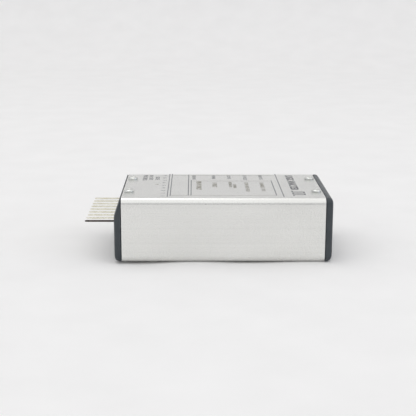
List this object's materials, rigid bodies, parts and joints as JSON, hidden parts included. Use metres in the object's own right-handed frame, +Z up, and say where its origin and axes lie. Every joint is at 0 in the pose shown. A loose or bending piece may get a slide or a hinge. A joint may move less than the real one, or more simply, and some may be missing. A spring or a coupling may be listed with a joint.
{
  "type": "logic analyzer",
  "caption": "Pocket logic analyzer in an extruded aluminium case with screwed plastic end caps, a row of probe header pins at one end and a USB socket at the other.",
  "frame": {"origin": "centre of the case's flat underside", "axes": "+X along the case towards the USB end, -X towards the header pins, -Y out of the long front face, +Z up out of the printed top face"},
  "size_m": [0.0973, 0.0506, 0.027],
  "materials": {
    "case_aluminium": "satin silver anodised extrusion with a fine grey printed legend on top",
    "cap_plastic": "moulded black ABS, fine matt texture",
    "screw_steel": "nickel plated, bright",
    "pin_gold": "pale gold plating, lightly dulled",
    "pin_dark": "darkened plating",
    "insulator_nylon": "moulded black nylon",
    "board_laminate": "green solder resist over glass laminate",
    "tin_plate": "tin plated sheet",
    "chip_epoxy": "moulded black epoxy with tinned leads",
    "capacitor_epoxy": "moulded yellow epoxy",
    "ceramic": "fired dark ceramic with tinned ends",
    "lamp_epoxy": "cast tinted clear epoxy"
  },
  "bodies": {
    "case": {"capture_chip": "chip_epoxy", "circuit_board": "board_laminate", "clock_crystal": "tin_plate", "extruded_case": "case_aluminium", "ferrite_bead": "ceramic", "header_insulator": "insulator_nylon", "header_pin_1": "pin_dark", "header_pin_2": "pin_gold", "header_pin_3": "pin_gold", "header_pin_4": "pin_gold", "header_pin_5": "pin_gold", "header_pin_6": "pin_gold", "header_pin_7": "pin_gold", "header_pin_8": "pin_gold", "header_pin_9": "pin_gold", "input_buffer_chip_1": "chip_epoxy", "input_buffer_chip_2": "chip_epoxy", "input_resistor_array_1": "ceramic", "input_resistor_array_2": "ceramic", "input_resistor_array_3": "ceramic", "lamp_holder": "insulator_nylon", "left_end_cap": "cap_plastic", "right_end_cap": "cap_plastic", "settings_memory_chip": "chip_epoxy", "status_lamp": "lamp_epoxy", "tantalum_capacitor_1": "capacitor_epoxy", "tantalum_capacitor_2": "capacitor_epoxy", "usb_contact_tongue": "insulator_nylon", "usb_fuse": "chip_epoxy", "usb_interface_chip": "chip_epoxy", "usb_shell": "tin_plate", "voltage_regulator": "chip_epoxy"},
    "cap_screw_1": {"cap_screw_1": "screw_steel"},
    "cap_screw_2": {"cap_screw_2": "screw_steel"},
    "cap_screw_3": {"cap_screw_3": "screw_steel"},
    "cap_screw_4": {"cap_screw_4": "screw_steel"}
  },
  "joints": [
    {"name": "cap_screw_1_turn", "type": "hinge", "parent": "case", "child": "cap_screw_1", "pos_m": [-0.0374, -0.0127, 0.0259], "axis": [0, 0, 1], "continuous": true},
    {"name": "cap_screw_2_turn", "type": "hinge", "parent": "case", "child": "cap_screw_2", "pos_m": [-0.0374, 0.0127, 0.0259], "axis": [0, 0, 1], "continuous": true},
    {"name": "cap_screw_3_turn", "type": "hinge", "parent": "case", "child": "cap_screw_3", "pos_m": [0.0374, -0.0127, 0.0259], "axis": [0, 0, 1], "continuous": true},
    {"name": "cap_screw_4_turn", "type": "hinge", "parent": "case", "child": "cap_screw_4", "pos_m": [0.0374, 0.0127, 0.0259], "axis": [0, 0, 1], "continuous": true}
  ]
}
